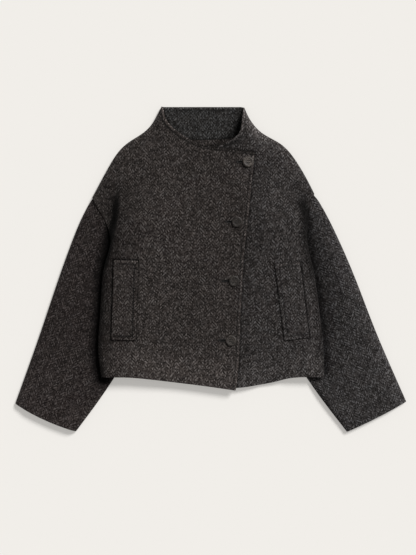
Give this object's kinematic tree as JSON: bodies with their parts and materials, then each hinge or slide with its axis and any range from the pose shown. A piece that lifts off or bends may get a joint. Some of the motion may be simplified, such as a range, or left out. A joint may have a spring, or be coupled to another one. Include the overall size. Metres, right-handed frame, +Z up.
{
  "type": "coat",
  "caption": "Cropped wool coat with a funnel collar, off-centre button front, wide straight sleeves and upright welt pockets, laid flat on its back.",
  "frame": {"origin": "middle of the footprint, on the surface that the coat lies on", "axes": "+X across the coat to the cuff of the wearer's left sleeve, +Y up the coat to its collar, +Z up from the surface it lies on"},
  "size_m": [0.8234, 0.683, 0.0294],
  "materials": {
    "tweed": "soft napped tweed, matte",
    "horn_button": "satin"
  },
  "bodies": {
    "root": {"back": "tweed", "back_collar": "tweed", "front_right": "tweed", "front_left": "tweed", "sleeve_right_upper": "tweed", "sleeve_right_under": "tweed", "sleeve_left_upper": "tweed", "sleeve_left_under": "tweed", "pocket_welt_right": "tweed", "pocket_welt_left": "tweed", "button_1": "horn_button", "button_2": "horn_button", "button_3": "horn_button", "button_4": "horn_button"}
  },
  "joints": []
}
